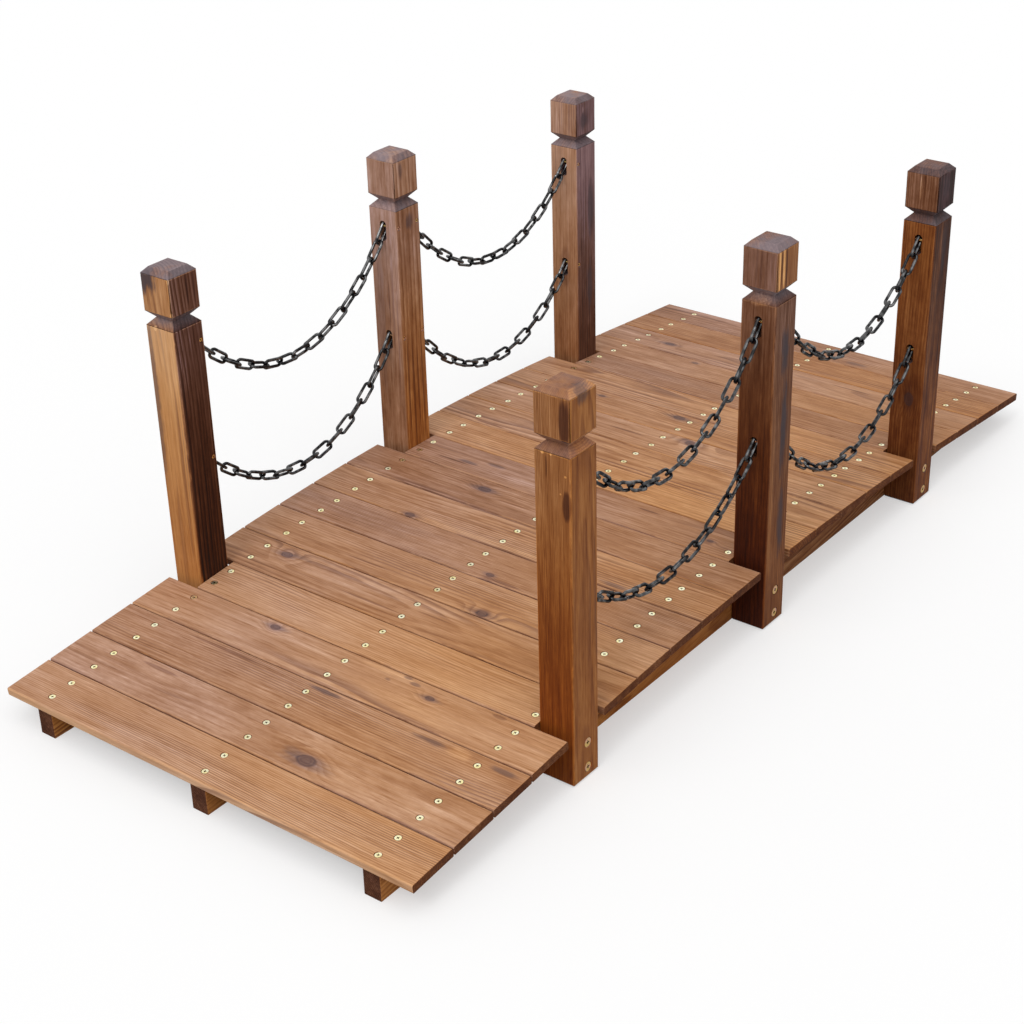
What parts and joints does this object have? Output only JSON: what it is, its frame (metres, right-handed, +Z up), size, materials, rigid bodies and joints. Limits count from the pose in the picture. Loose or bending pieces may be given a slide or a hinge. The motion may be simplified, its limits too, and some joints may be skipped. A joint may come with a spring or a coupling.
{
  "type": "garden footbridge",
  "caption": "Low arched wooden garden footbridge with a plank deck on sawn stringers, and capped square posts joined by hanging black chain rails.",
  "frame": {"origin": "on the ground under the middle of the bridge", "axes": "+X along the bridge to its far end, +Y across it to its left side, +Z up"},
  "size_m": [1.4982, 0.66, 0.542],
  "materials": {
    "deck_wood": "stained softwood boards, satin",
    "stringer_wood": "stained softwood, sawn",
    "post_wood": "stained softwood with lightly scorched patches",
    "chain_steel": "black coated welded steel, satin gloss",
    "screw_steel": "yellow zinc plated steel"
  },
  "bodies": {
    "root": {"plank_01": "deck_wood", "plank_02": "deck_wood", "plank_03": "deck_wood", "plank_04": "deck_wood", "plank_05": "deck_wood", "plank_06": "deck_wood", "plank_07": "deck_wood", "plank_08": "deck_wood", "plank_09": "deck_wood", "plank_10": "deck_wood", "plank_11": "deck_wood", "plank_12": "deck_wood", "plank_13": "deck_wood", "plank_14": "deck_wood", "plank_15": "deck_wood", "plank_16": "deck_wood", "plank_17": "deck_wood", "plank_18": "deck_wood", "plank_19": "deck_wood", "plank_20": "deck_wood", "plank_21": "deck_wood", "stringer_left": "stringer_wood", "stringer_middle": "stringer_wood", "stringer_right": "stringer_wood", "post_left_near": "post_wood", "chain_screws_left_near": "screw_steel", "post_left_middle": "post_wood", "chain_screws_left_middle": "screw_steel", "post_left_far": "post_wood", "chain_screws_left_far": "screw_steel", "post_right_near": "post_wood", "chain_screws_right_near": "screw_steel", "post_right_middle": "post_wood", "chain_screws_right_middle": "screw_steel", "post_right_far": "post_wood", "chain_screws_right_far": "screw_steel", "chain_left_near_upper": "chain_steel", "chain_left_near_lower": "chain_steel", "chain_left_far_upper": "chain_steel", "chain_left_far_lower": "chain_steel", "chain_right_near_upper": "chain_steel", "chain_right_near_lower": "chain_steel", "chain_right_far_upper": "chain_steel", "chain_right_far_lower": "chain_steel"}
  },
  "joints": []
}
